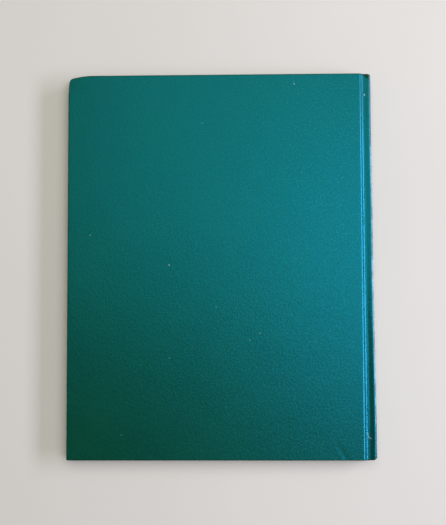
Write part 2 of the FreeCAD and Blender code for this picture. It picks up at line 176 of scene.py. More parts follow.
class CaseSettings(bpy.types.PropertyGroup):
    """Sizes and wear of the cloth case."""
    cloth: length_setting("Cloth", "Thickness of the covering cloth", 0.3 * MM, 5)
    edge_round: length_setting("Edge round", "Rounding of the covered edges", 0.62 * MM, 5)
    cap_round: length_setting(
        "Cap round", "Rounding of the cloth at the ends of the spine", 0.95 * MM, 5)
    splay: length_setting("Splay", "How far the spine stands off towards its tail", 1.0 * MM)
    corner_round: length_setting(
        "Corner round", "Blunting of the fore corners, seen from above", 1.1 * MM, 5)
    bump_round: length_setting(
        "Bump round", "Blunting of the crushed corner, seen from above", 2.4 * MM, 5)
    turn_in: length_setting("Turn-in", "Cloth folded in over the edges", 15 * MM)
    row_step: length_setting("Row step", "Spacing of the cloth's mesh from tail to head", 1.5 * MM)
    bump_drop: bpy.props.FloatVectorProperty(
        name="Bump drop", description="How far the crushed corner is driven in, in X and in Y",
        default=(0.8 * MM, 2.5 * MM), size=2, unit="LENGTH", precision=4)
    bump_run: bpy.props.FloatVectorProperty(
        name="Bump run", description="Length of the crushed corner along head and fore edge",
        default=(17.5 * MM, 15.5 * MM), size=2, unit="LENGTH", precision=4)
    fold_head: length_setting(
        "Head cap", "How far the corner at the head of the spine is bent down", 1.5 * MM)
    cave_tail: length_setting("Tail cap", "How far the tail of the spine is crushed in", 0.3 * MM)
    wrinkle: length_setting(
        "Wrinkle", "Height of the wrinkles in the joint and on the ridge", 0.09 * MM, 5)
    colour: colour_setting("Cloth colour", "Colour of the covering cloth", (0.003, 0.041, 0.006))


class LeafSettings(bpy.types.PropertyGroup):
    """Sizes and colours of the leaves, endpapers and bands."""
    leaves: bpy.props.IntProperty(
        name="Leaves", description="Number of leaves in the text block", default=78, min=8)
    unevenness: length_setting(
        "Unevenness", "How far single leaves stand out of the trimmed edges", 0.09 * MM, 5)
    threads: bpy.props.IntProperty(
        name="Threads", description="Turns of thread on each band", default=19, min=4)
    colour: colour_setting("Leaf colour", "Colour of the leaves", (0.62, 0.55, 0.42))
    endpaper: colour_setting(
        "Endpaper colour", "Colour of pastedowns and flyleaves", (0.66, 0.61, 0.49))


class StageSettings(bpy.types.PropertyGroup):
    """Floor, light and camera."""
    floor_colour: colour_setting("Floor colour", "Colour of the plain floor", (0.66, 0.62, 0.56))
    camera_place: bpy.props.FloatVectorProperty(
        name="Camera place", description="Where the camera stands",
        default=(13.8 * MM, -28.0 * MM, 577.9 * MM), size=3, subtype="TRANSLATION")
    camera_turn: bpy.props.FloatVectorProperty(
        name="Camera turn", description="Turn of the camera from looking straight down",
        default=(0.0528, 0.02046, -0.00363), size=3, subtype="EULER")
    lens: bpy.props.FloatProperty(
        name="Lens", description="Focal length for a 36 mm sensor", default=54.86, unit="CAMERA")


def case_settings():
    return bpy.context.scene.book_case


def leaf_settings():
    return bpy.context.scene.book_leaves


def stage_settings():
    return bpy.context.scene.book_stage


# Small mathematics

def share_between(value, low, high):
    """0 below low, 1 above high, and even in between."""
    return min(max((value - low) / (high - low), 0.0), 1.0)


def smooth(value, low, high):
    """0 below low, 1 above high, with a soft start and end."""
    share = share_between(value, low, high)
    return share * share * (3 - 2 * share)


def bell(off, width):
    """1 in the middle, falling softly to nearly 0 at two widths."""
    return math.exp(-(off / width) ** 2)


def mix(first, second, share):
    return first + (second - first) * share


def ripple(x, y, z, size, seed=0.0):
    """Smooth noise between about -1 and 1, with lumps of the given size."""
    return noise.noise(Vector((x / size + seed, y / size, z / size)))


def through(points, place):
    """A point on the smooth curve through the points, at place counted in points."""
    last = len(points) - 1
    start = min(int(place), last - 1)
    share = place - start
    before = points[max(start - 1, 0)]
    first, second = points[start], points[start + 1]
    after = points[min(start + 2, last)]
    spot = []
    for a, b, c, d in zip(before, first, second, after):
        spot.append(b + 0.5 * share * (c - a + share * (2 * a - 5 * b + 4 * c - d
                    + share * (3 * (b - c) + d - a))))
    return spot


def stations_between(low, high, step, finer=()):
    """Evenly spaced stations, closer together in the finer ranges (low, high, step)."""
    places = [low]
    while places[-1] < high - step * 0.25:
        stride = step
        for start, end, fine in finer:
            if start <= places[-1] < end:
                stride = fine
        places.append(min(places[-1] + stride, high))
    places[-1] = high
    return places


# Mesh helpers

def finish_mesh(mesh_data, name, material, shade_smooth=True):
    """A finished object at the origin, from a bmesh that holds its place."""
    mesh = bpy.data.meshes.new(name)
    mesh_data.to_mesh(mesh)
    mesh_data.free()
    for face in mesh.polygons:
        face.use_smooth = shade_smooth
    piece = bpy.data.objects.new(name, mesh)
    bpy.context.scene.collection.objects.link(piece)
    piece.data.materials.append(material)
    return piece


def grown_parts(result, kind):
    """The vertices, edges or faces that an operator has made."""
    return [item for item in result["geom"] if isinstance(item, kind)]


def whole(mesh_data):
    return mesh_data.verts[:] + mesh_data.edges[:] + mesh_data.faces[:]


def add_wall(piece, thickness):
    """Gives a skin its thickness, inwards from the outer face."""
    wall = piece.modifiers.new("wall", "SOLIDIFY")
    wall.thickness = thickness
    wall.offset = -1
    wall.use_even_offset = False


def new_grid(columns, rows):
    """A grid whose vertices carry the number of their column and row."""
    grid = bmesh.new()
    bmesh.ops.create_grid(grid, x_segments=columns - 1, y_segments=rows - 1, size=0.5)
    column = grid.verts.layers.int.new("column")
    row = grid.verts.layers.int.new("row")
    for vert in grid.verts:
        vert[column] = round((vert.co.x + 0.5) * (columns - 1))
        vert[row] = round((vert.co.y + 0.5) * (rows - 1))
    return grid, column, row


def bend_at_joint(piece):
    """Bakes the place of a sheet that crosses the joint into its mesh."""
    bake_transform(piece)


def cut_across(mesh_data, place, direction):
    """Cuts new edges into a closed mesh along a plane."""
    bmesh.ops.bisect_plane(mesh_data, geom=whole(mesh_data), dist=0.001 * MM,
                           plane_co=place, plane_no=direction)


# The case: cloth over board, joint and spine

def case_stations():
    """Outer and inner place of the cloth at each column, from fore edge to middle of the spine."""
    case = case_settings()
    edge = case.edge_round
    near = [edge, 0.8 * MM, 1.2 * MM, 1.6 * MM, 2.2 * MM, 3.5 * MM]
    crease = (74 * MM, 93 * MM, 0.9 * MM)
    corner = (FORE, FORE + 25 * MM, 1.8 * MM)
    last = BOARD_EDGE + CASE_SECTION[0][0] * MM
    beside_joint = (last - 4 * MM, last, 0.8 * MM)
    spread = stations_between(FORE + 5 * MM, last, 3.2 * MM, (crease, corner, beside_joint))
    flat = [FORE + place for place in near] + spread[:-1]
    outer = [(x, TOP) for x in flat]
    inner = [(x, TURN_INSIDE) for x in flat]
    points = [
        (BOARD_EDGE + a * MM, TOP - b * MM, BOARD_EDGE + c * MM, TOP - d * MM)
        for a, b, c, d in CASE_SECTION
    ]
    steps = (len(points) - 1) * SECTION_STEPS
    for step in range(steps + 1):
        x, z, inner_x, inner_z = through(points, step / SECTION_STEPS)
        outer.append((x, z))
        inner.append((inner_x, inner_z))
    return outer, inner


def fold_steps():
    """The cloth's way over an edge, ring by ring: inset, depth, and 1 on the board's inside."""
    edge = case_settings().edge_round
    rings = []
    for turn in (30, 60, 90):
        angle = math.radians(turn)
        rings.append((edge * (1 - math.sin(angle)), edge * (1 - math.cos(angle)), 0))
    for turn in (90, 60, 30, 0):
        angle = math.radians(turn)
        rings.append((edge * (1 - math.sin(angle)), edge * (1 - math.cos(angle)), 1))
    rings.append((case_settings().turn_in, 0.0, 1))
    return rings


def blunt_corner(x, y, side):
    """Rounds the fore corners of the outline and all that lies within them."""
    case = case_settings()
    radius = case.bump_round if side == "back" and y > 0 else case.corner_round
    across = FORE + radius - x
    along = abs(y) - (HEAD - radius)
    if across <= 0 or along <= 0:
        return x, y
    share = max(across, along) / math.hypot(across, along)
    return FORE + radius - across * share, math.copysign(HEAD - radius + along * share, y)


def crush_corner(x, y, z):
    """Drives in the head and fore corner of the back cover."""
    case = case_settings()
    run_x, run_y = case.bump_run
    drop_x, drop_y = case.bump_drop
    from_fore = (x - FORE) / run_x
    from_head = (HEAD - y) / run_y
    if from_fore > 2.4 or from_head > 2.4:
        return x, y, z
    along_head = max(1 - from_fore, 0) ** 2
    along_fore = max(1 - from_head, 0) ** 2
    inside_head = 1 - smooth(from_head, 0.0, 2.2)
    inside_fore = 1 - smooth(from_fore, 0.0, 1.8)
    rough = ripple(x, y, z, 2.6 * MM, 3.0) * 0.12 * MM * along_head * along_fore
    return (
        x + drop_x * along_fore * inside_fore + rough,
        y - drop_y * along_head * inside_head + rough,
        z - 0.22 * MM * along_head * along_fore + rough * 0.5,
    )


def crush_cap(x, y, z):
    """Spine as it stands: off the leaves, pulled in at its tail, bent down at its head corner."""
    case = case_settings()
    past = x - BOARD_EDGE
    lean = LEAN_HEAD + LEAN_MIDDLE * smooth(-y, -95 * MM, -35 * MM) + smooth(-y, 0, 110 * MM)
    off = case.splay * lean * smooth(past, -0.4 * MM, 4.4 * MM)
    if y < 0:
        pull = case.cave_tail * share_between(past, 0.6 * MM, 6.2 * MM)
        pull += TAIL_PULL * share_between(past, 4.6 * MM, 7 * MM) ** 2
        return x + off, y + pull * smooth(-y, HEAD - 5 * MM, HEAD), z
    beyond = FOLD_X * (past - 0.2 * MM) + FOLD_Y * (y - HEAD)
    drop = 0.7 * smooth(beyond, -0.4 * MM, 1.2 * MM) + 0.3 * smooth(beyond, 0.6 * MM, 4 * MM)
    drop *= case.fold_head * smooth(z, MIDDLE - 3.6 * MM, MIDDLE + 3.0 * MM)
    return x + off + drop * 0.06, y + drop * 0.04, z - drop


def wear_face(x, y, z, side):
    """Shallow unevenness of a cover's face, and the crease near its tail and spine corner."""
    flat = 1 - smooth(x, BOARD_EDGE - 1.4 * MM, BOARD_EDGE + 0.4 * MM)
    lift = 0.05 * MM * ripple(x, y, 0, 34 * MM, 7.0 if side == "back" else 19.0)
    lift += 0.02 * MM * ripple(x, y, 0, 9 * MM, 2.0)
    if side == "front":
        lift -= FRONT_LIFT
    else:
        way = (CREASE_END - CREASE_START).normalized()
        spot = Vector((x, y)) - CREASE_START
        along = spot.dot(way)
        across = spot.x * -way.y + spot.y * way.x
        reach = smooth(along, -7 * MM, 7 * MM)
        bow = across - 0.5 * MM * math.sin(along / (6 * MM))
        lift += reach * CREASE_RIDGE * bell(bow, CREASE_RIDGE_WIDTH)
        lift -= reach * CREASE_HOLLOW * bell(bow - CREASE_HOLLOW_OFF, CREASE_HOLLOW_WIDTH)
    return z + lift * flat


def wrinkle_joint(x, y, z, nx, nz, side):
    """Wrinkles of the cloth in the joint and over the ridge, along its normal."""
    past = x - BOARD_EDGE
    seed = 11.0 if side == "back" else 31.0
    over = smooth(past, -0.4 * MM, 2 * MM) * smooth(z, MIDDLE, TOP - 4 * MM)
    long_wave = ripple(x * 2.0, y, z * 2.0, 13 * MM, seed)
    short_wave = ripple(x * 1.6, y, z * 1.6, 3.4 * MM, seed + 5)
    short_wave *= smooth(long_wave, -0.2, 0.4)
    height = case_settings().wrinkle * over * (0.7 * long_wave + 0.6 * short_wave)
    if side == "back":
        off = math.hypot(past - PIMPLE_PAST, (y - PIMPLE_Y) * 0.7)
        height += PIMPLE_HEIGHT * bell(off, PIMPLE_WIDTH)
    groove = GROOVE_DEPTH * bell(past - GROOVE_PAST, GROOVE_WIDTH)
    height -= groove * smooth(-y, -40 * MM, 115 * MM)
    return x + nx * height, z + nz * height


def place_cloth(x, y, z, side):
    """Worn place of a point of the cloth, from its sound place on the back cover's side."""
    x, y = blunt_corner(x, y, side)
    z = wear_face(x, y, z, side)
    if side == "back":
        x, y, z = crush_corner(x, y, z)
    return Vector(crush_cap(x, y, z if side == "back" else TOP - z))


def section_normals(outer):
    """Outward normals of the section, in X and Z."""
    normals = []
    for number, (x, z) in enumerate(outer):
        before = outer[max(number - 1, 0)]
        after = outer[min(number + 1, len(outer) - 1)]
        run, rise = after[0] - before[0], after[1] - before[1]
        size = math.hypot(run, rise)
        normals.append((-rise / size, run / size))
    return normals


def cap_depth(x, inset, least):
    """How far the end of the spine is rounded inwards at a distance from its very end."""
    radius = case_settings().cap_round * smooth(x, BOARD_EDGE + 0.5 * MM, BOARD_EDGE + 2.5 * MM)
    if inset >= radius:
        return least
    return max(radius - math.sqrt(radius ** 2 - (radius - inset) ** 2), least)


def case_rows():
    """Stations of the cloth from tail to head, closer together at its ends and its pimple."""
    case = case_settings()
    ends = [case.edge_round, 0.8 * MM, 1.2 * MM, 1.6 * MM, 2.2 * MM]
    low = [-HEAD + place for place in ends]
    pimple = (PIMPLE_Y - 3 * MM, PIMPLE_Y + 3 * MM, 0.4 * MM)
    head_cap = (HEAD - 8 * MM, HEAD, 0.5 * MM)
    inner = HEAD - 3.2 * MM
    middle = stations_between(-inner, inner, case.row_step, (pimple, head_cap))
    return low + middle + [-place for place in reversed(low)]


def joint_and_ridge_highlight_and_rub(x, y, z):
    """How far a point lies in the joint, glossier and painted bluer as painted sheen, and how far
    on the ridge, painted paler as painted highlight and wear.
    """
    past = x - BOARD_EDGE
    joint = smooth(past, -1.6 * MM, -0.8 * MM) * (1 - 0.8 * smooth(y, 85 * MM, 118 * MM))
    ridge = smooth(past, 5.4 * MM, 5.9 * MM) * smooth(z, TOP - 3.2 * MM, TOP - 1.7 * MM)
    middle = smooth(-y, -112 * MM, -60 * MM) * smooth(y, -128 * MM, -90 * MM)
    return joint, ridge * mix(0.35, 1, middle)


def case_skin(side):
    """Outer skin of one half of the case, from its turn-ins to the middle of the spine."""
    case = case_settings()
    outer, inner = case_stations()
    normals = section_normals(outer)
    rows = case_rows()
    skin, column, row = new_grid(len(outer), len(rows))
    # Masks of the joint, for its gloss and painted sheen, and of the ridge, for its painted
    # highlight and wear
    joint = skin.verts.layers.float.new("joint")
    ridge_highlight_and_rub = skin.verts.layers.float.new("ridge_highlight_and_rub")
    last_row = len(rows) - 1
    for vert in skin.verts:
        x, z = outer[vert[column]]
        y = rows[vert[row]]
        vert[joint], vert[ridge_highlight_and_rub] = joint_and_ridge_highlight_and_rub(x, y, z)
        nx, nz = normals[vert[column]]
        x, z = wrinkle_joint(x, y, z, nx, nz, side)
        depth = cap_depth(x, HEAD - abs(y), 0)
        vert.co = place_cloth(x - nx * depth, y, z - nz * depth, side)
    rim = [
        e for e in skin.edges
        if e.is_boundary and not all(v[column] == len(outer) - 1 for v in e.verts)
    ]
    for inset, depth, under in fold_steps():
        grown = bmesh.ops.extrude_edge_only(skin, edges=rim)
        new_verts = grown_parts(grown, bmesh.types.BMVert)
        fresh = set(new_verts)
        rim = [e for e in grown_parts(grown, bmesh.types.BMEdge) if fresh.issuperset(e.verts)]
        for vert in new_verts:
            at_end = vert[row] in (0, last_row)
            first, second = outer[vert[column]], inner[vert[column]]
            gap = math.dist(first, second)
            share = depth
            if at_end:
                share = cap_depth(first[0], inset, depth)
            share = min(share / gap, 0.5)
            share = 1 - share if under else share
            x = mix(first[0], second[0], share)
            z = mix(first[1], second[1], share)
            y = rows[vert[row]]
            if at_end:
                y = math.copysign(HEAD - inset, y)
            if vert[column] == 0:
                x = FORE + inset
            elif inset == case.turn_in:
                x = max(x, FORE + inset)
            if inset == case.turn_in and not at_end:
                y = max(min(y, HEAD - inset), inset - HEAD)
            vert.co = place_cloth(x, y, z, side)
    bmesh.ops.remove_doubles(skin, verts=skin.verts, dist=MERGE)
    bmesh.ops.dissolve_degenerate(skin, edges=skin.edges, dist=MERGE)
    bmesh.ops.recalc_face_normals(skin, faces=skin.faces)
    point_outwards(skin, side)
    for border in skin.edges:
        border.smooth = not border.is_boundary
    return skin


def point_outwards(skin, side):
    """Turns the whole skin round if the cover's face looks into the book."""
    level, wanted = (TOP, 1) if side == "back" else (0, -1)
    on_face = [face for face in skin.faces if abs(face.calc_center_median().z - level) < MM]
    face = max(on_face, key=lambda item: item.calc_area() * abs(item.normal.z))
    if face.normal.z * wanted < 0:
        bmesh.ops.reverse_faces(skin, faces=skin.faces)


def build_case_half(side):
    """Cloth of one cover, its joint and half of the spine."""
    cloth = material_of("green_book_cloth", fill_cloth)
    piece = finish_mesh(case_skin(side), side + "_case_cloth", cloth)
    add_wall(piece, case_settings().cloth)
    bend_at_joint(piece)
    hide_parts(side + "_cover_cloth", side + "_joint_cloth", "spine_cloth")


def build_board(side):
    """Board of one cover, rounded along the joint and shaped like the cloth over it."""
    low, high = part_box("back_board")
    board = bmesh.new()
    place = Matrix.Translation((low + high) / 2) @ Matrix.Diagonal(high - low).to_4x4()
    bmesh.ops.create_cube(board, size=1, matrix=place)
    joint_edge = [
        e for e in board.edges
        if all(v.co.x > 0 and v.co.z > high.z - 0.1 * MM for v in e.verts)
    ]
    bmesh.ops.bevel(board, geom=joint_edge, offset=1.5 * MM, offset_type="OFFSET", segments=4,
                    profile=0.5, affect="EDGES", material=-1)
    for number in BOARD_CUTS:
        cut_across(board, (low.x + number * 12 * MM, 0, 0), (1, 0, 0))
        cut_across(board, (low.x + number * 1.5 * MM, 0, 0), (1, 0, 0))
        cut_across(board, (0, high.y - number * 1.5 * MM, 0), (0, 1, 0))
        cut_across(board, (0, low.y + number * 14 * MM, 0), (0, 1, 0))
    for vert in board.verts:
        x, y, z = vert.co
        if x > BOARD_EDGE - 1.6 * MM and z > MIDDLE + 5 * MM:
            z -= 0.12 * MM
        x = max(x, low.x + 0.1 * MM)
        y = min(max(y, low.y + 0.1 * MM), high.y - 0.1 * MM)
        vert.co = place_cloth(x, y, z, side)
    bmesh.ops.recalc_face_normals(board, faces=board.faces)
    greyboard = material_of("greyboard", fill_board, BOARD_COLOUR)
    piece = finish_mesh(board, side + "_board_core", greyboard, shade_smooth=False)
    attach(piece, side + "_cover")
    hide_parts(side + "_board")


def build_spine_strip():
    """Card strip in the spine, crushed with the cloth but kept clear of an open cover's board."""
    strip = bmesh.new()
    strip.from_mesh(frame["nodes"]["spine_strip"].data)
    bmesh.ops.remove_doubles(strip, verts=strip.verts, dist=0.002 * MM)
    bmesh.ops.recalc_face_normals(strip, faces=strip.faces)
    outer_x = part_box("spine_strip")[1].x
    for place in STRIP_CUTS:
        cut_across(strip, (0, place * MM, 0), (0, 1, 0))
    for vert in strip.verts:
        x, y, z = vert.co
        y = min(max(y, STRIP_END - HEAD), HEAD - STRIP_END)
        limit = RIDGE_HIGH.x - 0.1 * MM - 0.5 * (outer_x - x)
        x, y, z = crush_cap(x, y, MIDDLE + (z - MIDDLE) * 0.8)
        vert.co = (min(x, limit), y, z)
    bmesh.ops.remove_doubles(strip, verts=strip.verts, dist=MERGE)
    bmesh.ops.dissolve_degenerate(strip, edges=strip.edges, dist=MERGE)
    card = material_of("spine_card", fill_board, CARD_COLOUR)
    piece = finish_mesh(strip, "spine_card", card, shade_smooth=False)
    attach(piece, "text_block")
    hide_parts("spine_strip")


# Paper

def paper_sheet(name, side, columns, rows, level, thickness, material):
    """A thin sheet over stations in X and Y. Its level on the back cover's side depends on both."""
    sheet, column, row = new_grid(len(columns), len(rows))
    for vert in sheet.verts:
        x, y = columns[vert[column]], rows[vert[row]]
        z = level(x, y)
        vert.co = (x, y, z if side == "back" else TOP - z + thickness)
    bmesh.ops.recalc_face_normals(sheet, faces=sheet.faces)
    if sheet.faces[0].normal.z < 0:
        bmesh.ops.reverse_faces(sheet, faces=sheet.faces)
    bmesh.ops.solidify(sheet, geom=sheet.faces, thickness=thickness)
    return finish_mesh(sheet, name, material, shade_smooth=False)


def build_pastedown(side):
    """Pastedown and its strip across the joint, moulded over turn-ins and gauze."""
    case = case_settings()
    thickness = FLY_HIGH.z - PASTE_INSIDE.z
    fore, gauze = FORE + case.turn_in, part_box("back_mull_flange")[0].x
    end = HEAD - case.turn_in
    depth = BOARD_INSIDE - FLY_HIGH.z

    def level(x, y):
        inside = smooth(x, fore - 0.4 * MM, fore + 1.2 * MM)
        inside *= 1 - smooth(x, gauze - 1.2 * MM, gauze + 0.4 * MM)
        inside *= 1 - smooth(abs(y), end - 1.2 * MM, end + 0.4 * MM)
        uneven = 0.02 * MM * ripple(x, y, 0, 12 * MM, 4.0) * inside
        return FLY_HIGH.z + depth * inside * 0.97 + uneven

    fine = 0.4 * MM
    steps = ((fore - MM, fore + 1.6 * MM, fine), (gauze - 1.6 * MM, gauze + MM, fine))
    columns = stations_between(LEAF_LOW.x, BOARD_EDGE - 0.3 * MM, 4 * MM, steps)
    columns += stations_between(BOARD_EDGE, HINGE.x, 0.3 * MM)
    steps = ((-end - MM, -end + 1.6 * MM, fine), (end - 1.6 * MM, end + MM, fine))
    rows = stations_between(LEAF_LOW.y, LEAF_HIGH.y, 4 * MM, steps)
    paper = material_of("endpaper", fill_endpaper)
    name = side + "_pastedown_paper"
    piece = paper_sheet(name, side, columns, rows, level, thickness, paper)
    bend_at_joint(piece)
    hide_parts(side + "_pastedown")


def build_flyleaf(side):
    """Flyleaf on the leaves, reaching the joint, carried with the text block."""
    full = FLY_HIGH.z - PASTE_INSIDE.z
    sag = 0.25 * full

    def level(x, y):
        return PASTE_INSIDE.z - sag * (0.5 + 0.5 * ripple(x, y, 0, 30 * MM, 9.0))

    columns = stations_between(LEAF_LOW.x + 0.1 * MM, HINGE.x, 6 * MM)
    rows = stations_between(LEAF_LOW.y + 0.1 * MM, LEAF_HIGH.y - 0.1 * MM, 6 * MM)
    paper = material_of("endpaper", fill_endpaper)
    piece = paper_sheet(side + "_flyleaf_paper", side, columns, rows, level, full - sag, paper)
    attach(piece, "text_block")
    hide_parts(side + "_flyleaf")


def build_leaves():
    """Text block as single leaves with slightly uneven trimmed edges."""
    settings = leaf_settings()
    chance = random.Random(5)
    block = bmesh.new()
    tall = LEAF_HIGH.z - LEAF_LOW.z
    pitch = tall / settings.leaves
    back_bulge = LEAF_HIGH.x - HINGE.x
    hollow = 0.6 * MM
    for number in range(settings.leaves):
        level = LEAF_LOW.z + pitch * (number + 0.5)
        bow = 1 - ((level - MIDDLE) / (tall / 2)) ** 2
        section = 0.5 * settings.unevenness * math.sin(number // 8 * 2.4)
        uneven = [section + chance.uniform(-1, 1) * settings.unevenness for edge in range(3)]
        low_x = LEAF_LOW.x + hollow * bow + abs(uneven[0])
        high_x = HINGE.x + back_bulge * bow - 0.02 * MM
        low_y = LEAF_LOW.y + abs(uneven[1])
        high_y = LEAF_HIGH.y - abs(uneven[2])
        size = Vector((high_x - low_x, high_y - low_y, pitch * chance.uniform(0.8, 0.93)))
        middle = Vector(((high_x + low_x) / 2, (high_y + low_y) / 2, level))
        place = Matrix.Translation(middle) @ Matrix.Diagonal(size).to_4x4()
        bmesh.ops.create_cube(block, size=1, matrix=place)
    paper = material_of("book_leaves", fill_leaves)
    piece = finish_mesh(block, "leaves", paper, shade_smooth=False)
    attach(piece, "text_block")
    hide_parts("text_block")


def build_band(label, direction):
    """Sewn band at one end of the back of the leaves, with its turns of thread."""
    settings = leaf_settings()
    low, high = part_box(label)
    radius = (high.x - low.x) / 2
    tall = high.z - low.z
    steps = settings.threads * 6
    band = bmesh.new()
    bmesh.ops.create_circle(band, cap_ends=True, radius=radius, segments=20,
                            matrix=Matrix.Translation((0, 0, low.z)))
    base = list(band.faces)
    for step in range(steps):
        grown = bmesh.ops.extrude_face_region(band, geom=base)
        verts = grown_parts(grown, bmesh.types.BMVert)
        bmesh.ops.translate(band, verts=verts, vec=(0, 0, tall / steps))
        bmesh.ops.delete(band, geom=base, context="FACES_ONLY")
        base = grown_parts(grown, bmesh.types.BMFace)
    bmesh.ops.contextual_create(band, geom=[e for e in band.edges if e.is_boundary])
    middle_y = high.y - radius if direction > 0 else low.y + radius
    for vert in band.verts:
        turn = (vert.co.z - low.z) / tall * settings.threads * math.pi
        ridge = 1 - 0.13 * (1 - abs(math.sin(turn)))
        vert.co.x = (low.x + high.x) / 2 + vert.co.x * ridge
        vert.co.y = middle_y + vert.co.y * ridge
    cut = low.y if direction > 0 else high.y
    bmesh.ops.bisect_plane(band, geom=whole(band),
                           plane_co=(0, cut, 0), plane_no=(0, direction, 0), clear_inner=True)
    bmesh.ops.holes_fill(band, edges=[e for e in band.edges if e.is_boundary])
    bmesh.ops.recalc_face_normals(band, faces=band.faces)
    piece = finish_mesh(band, label + "_sewn", material_of("band_thread", fill_band))
    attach(piece, "text_block")
    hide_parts(label)


def build_mull_flange(side):
    """Gauze flange under the pastedown."""
    low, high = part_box(side + "_mull_flange")
    thickness = 0.15 * MM
    columns = stations_between(low.x, BOARD_EDGE, 6 * MM)
    columns += stations_between(BOARD_EDGE + 0.4 * MM, high.x, 0.4 * MM)
    rows = stations_between(low.y, high.y, 6 * MM)

    def level(x, y):
        return BOARD_INSIDE - 0.02 * MM

    gauze = material_of("gauze", fill_gauze)
    name = side + "_gauze_flange"
    piece = paper_sheet(name, side, columns, rows, level, thickness, gauze)
    bend_at_joint(piece)
    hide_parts(side + "_mull_flange")


# Materials

def material_of(name, fill, *values):
    """The finish of that name, filled by its function when it is first asked for."""
    name = "dressed_" + name
    material = bpy.data.materials.get(name)
    if material is None:
        material = bpy.data.materials.new(name)
        material.use_nodes = True
        tree = material.node_tree
        tree.nodes.clear()
        output = tree.nodes.new("ShaderNodeOutputMaterial")
        shader = tree.nodes.new("ShaderNodeBsdfPrincipled")
        link(tree, shader.outputs["BSDF"], output.inputs["Surface"])
        fill(tree, shader, *values)
    return material


def add_node(tree, kind, **values):
    """A node with its plain settings, and input values by socket name."""
    made = tree.nodes.new("ShaderNode" + kind)
    for name, value in values.items():
        if hasattr(made, name):
            setattr(made, name, value)
        else:
            made.inputs[name.replace("_", " ")].default_value = value
    return made


def link(tree, start, end):
    tree.links.new(start, end)


def feed(tree, value, socket):
    """Links another socket to this one, or sets its plain value."""
    if isinstance(value, bpy.types.NodeSocket):
        link(tree, value, socket)
    else:
        socket.default_value = value


def own_place(tree):
    """The piece's own coordinates, as a socket."""
    return add_node(tree, "TexCoord").outputs["Object"]


def new_group(name, inputs, output, kind):
    """A node group with its sockets, as (group, input sockets, output socket)."""
    group = bpy.data.node_groups.new(name, "ShaderNodeTree")
    for label, socket in inputs:
        group.interface.new_socket(label, in_out="INPUT", socket_type="NodeSocket" + socket)
    group.interface.new_socket(output, in_out="OUTPUT", socket_type="NodeSocket" + kind)
    entry = group.nodes.new("NodeGroupInput")
    leave = group.nodes.new("NodeGroupOutput")
    return group, entry.outputs, leave.inputs[output]


def use_group(tree, group, **values):
    """An instance of a node group with its input values, by socket name."""
    made = tree.nodes.new("ShaderNodeGroup")
    made.node_tree = group
    for name, value in values.items():
        feed(tree, value, made.inputs[name])
    return made.outputs[0]


def group_of(name, fill):
    """The node group of that name, filled by its function when it is first asked for."""
    return bpy.data.node_groups.get(name) or fill(name)


def grain_group(name):
    """Node group: noise on the piece's own coordinates, stretched and turned."""
    sockets = (("Scale", "Float"), ("Detail", "Float"), ("Stretch", "Vector"), ("Turn", "Vector"))
    group, entry, leave = new_group(name, sockets, "Value", "Float")
    mapping = add_node(group, "Mapping")
    texture = add_node(group, "TexNoise")
    link(group, own_place(group), mapping.inputs["Vector"])
    link(group, entry["Stretch"], mapping.inputs["Scale"])
    link(group, entry["Turn"], mapping.inputs["Rotation"])
    link(group, mapping.outputs["Vector"], texture.inputs["Vector"])
    link(group, entry["Scale"], texture.inputs["Scale"])
    link(group, entry["Detail"], texture.inputs["Detail"])
    link(group, texture.outputs["Fac"], leave)
    return group


def object_noise(tree, scale, detail=2.0, stretch=(1, 1, 1), turn=(0, 0, 0)):
    """Noise on the piece's own coordinates, its value socket."""
    return use_group(tree, group_of("grain", grain_group), Scale=scale, Detail=detail,
                     Stretch=stretch, Turn=turn)


def clouding_group(name):
    """Node group: a colour made darker and lighter in clouds."""
    sockets = (("Colour", "Color"), ("Scale", "Float"), ("Detail", "Float"),
               ("Darkest", "Float"), ("Lightest", "Float"))
    group, entry, leave = new_group(name, sockets, "Colour", "Color")
    cloud = use_group(group, group_of("grain", grain_group), Scale=entry["Scale"],
                      Detail=entry["Detail"], Stretch=(1, 1, 1))
    shade = add_node(group, "MapRange", From_Min=0.3, From_Max=0.7)
    link(group, cloud, shade.inputs["Value"])
    link(group, entry["Darkest"], shade.inputs["To Min"])
    link(group, entry["Lightest"], shade.inputs["To Max"])
    link(group, blended(group, 1.0, entry["Colour"], shade.outputs["Result"], "MULTIPLY"), leave)
    return group


def clouded(tree, colour, scale, detail, darkest, lightest):
    """A plain colour with clouding, as a socket."""
    return use_group(tree, group_of("clouding", clouding_group), Colour=(*colour, 1), Scale=scale,
                     Detail=detail, Darkest=darkest, Lightest=lightest)


def ranged(tree, value, low, high, new_low, new_high):
    """A value taken from one range to another and held within it."""
    made = add_node(tree, "MapRange", From_Min=low, From_Max=high, To_Min=new_low, To_Max=new_high)
    link(tree, value, made.inputs["Value"])
    return made.outputs["Result"]


def blended(tree, factor, first, second, how="MIX"):
    """Two colours mixed by a factor. Each of the three is a socket or a plain value."""
    made = tree.nodes.new("ShaderNodeMix")
    made.data_type = "RGBA"
    made.blend_type = how
    feed(tree, factor, made.inputs[0])
    for number, colour in ((6, first), (7, second)):
        plain = isinstance(colour, tuple)
        feed(tree, (*colour, 1) if plain else colour, made.inputs[number])
    return made.outputs[2]


def worked(tree, how, first, second):
    """Arithmetic on two values, each a socket or a number."""
    made = add_node(tree, "Math", operation=how)
    feed(tree, first, made.inputs[0])
    feed(tree, second, made.inputs[1])
    return made.outputs[0]


def finish_shader(tree, shader, tint, height, strength, distance, **values):
    """Gives a shader its colour, its bump, and plain values by socket name."""
    link(tree, tint, shader.inputs["Base Color"])
    bump = add_node(tree, "Bump", Strength=strength, Distance=distance)
    link(tree, height, bump.inputs["Height"])
    link(tree, bump.outputs["Normal"], shader.inputs["Normal"])
    for name, value in values.items():
        shader.inputs[name.replace("_", " ")].default_value = value


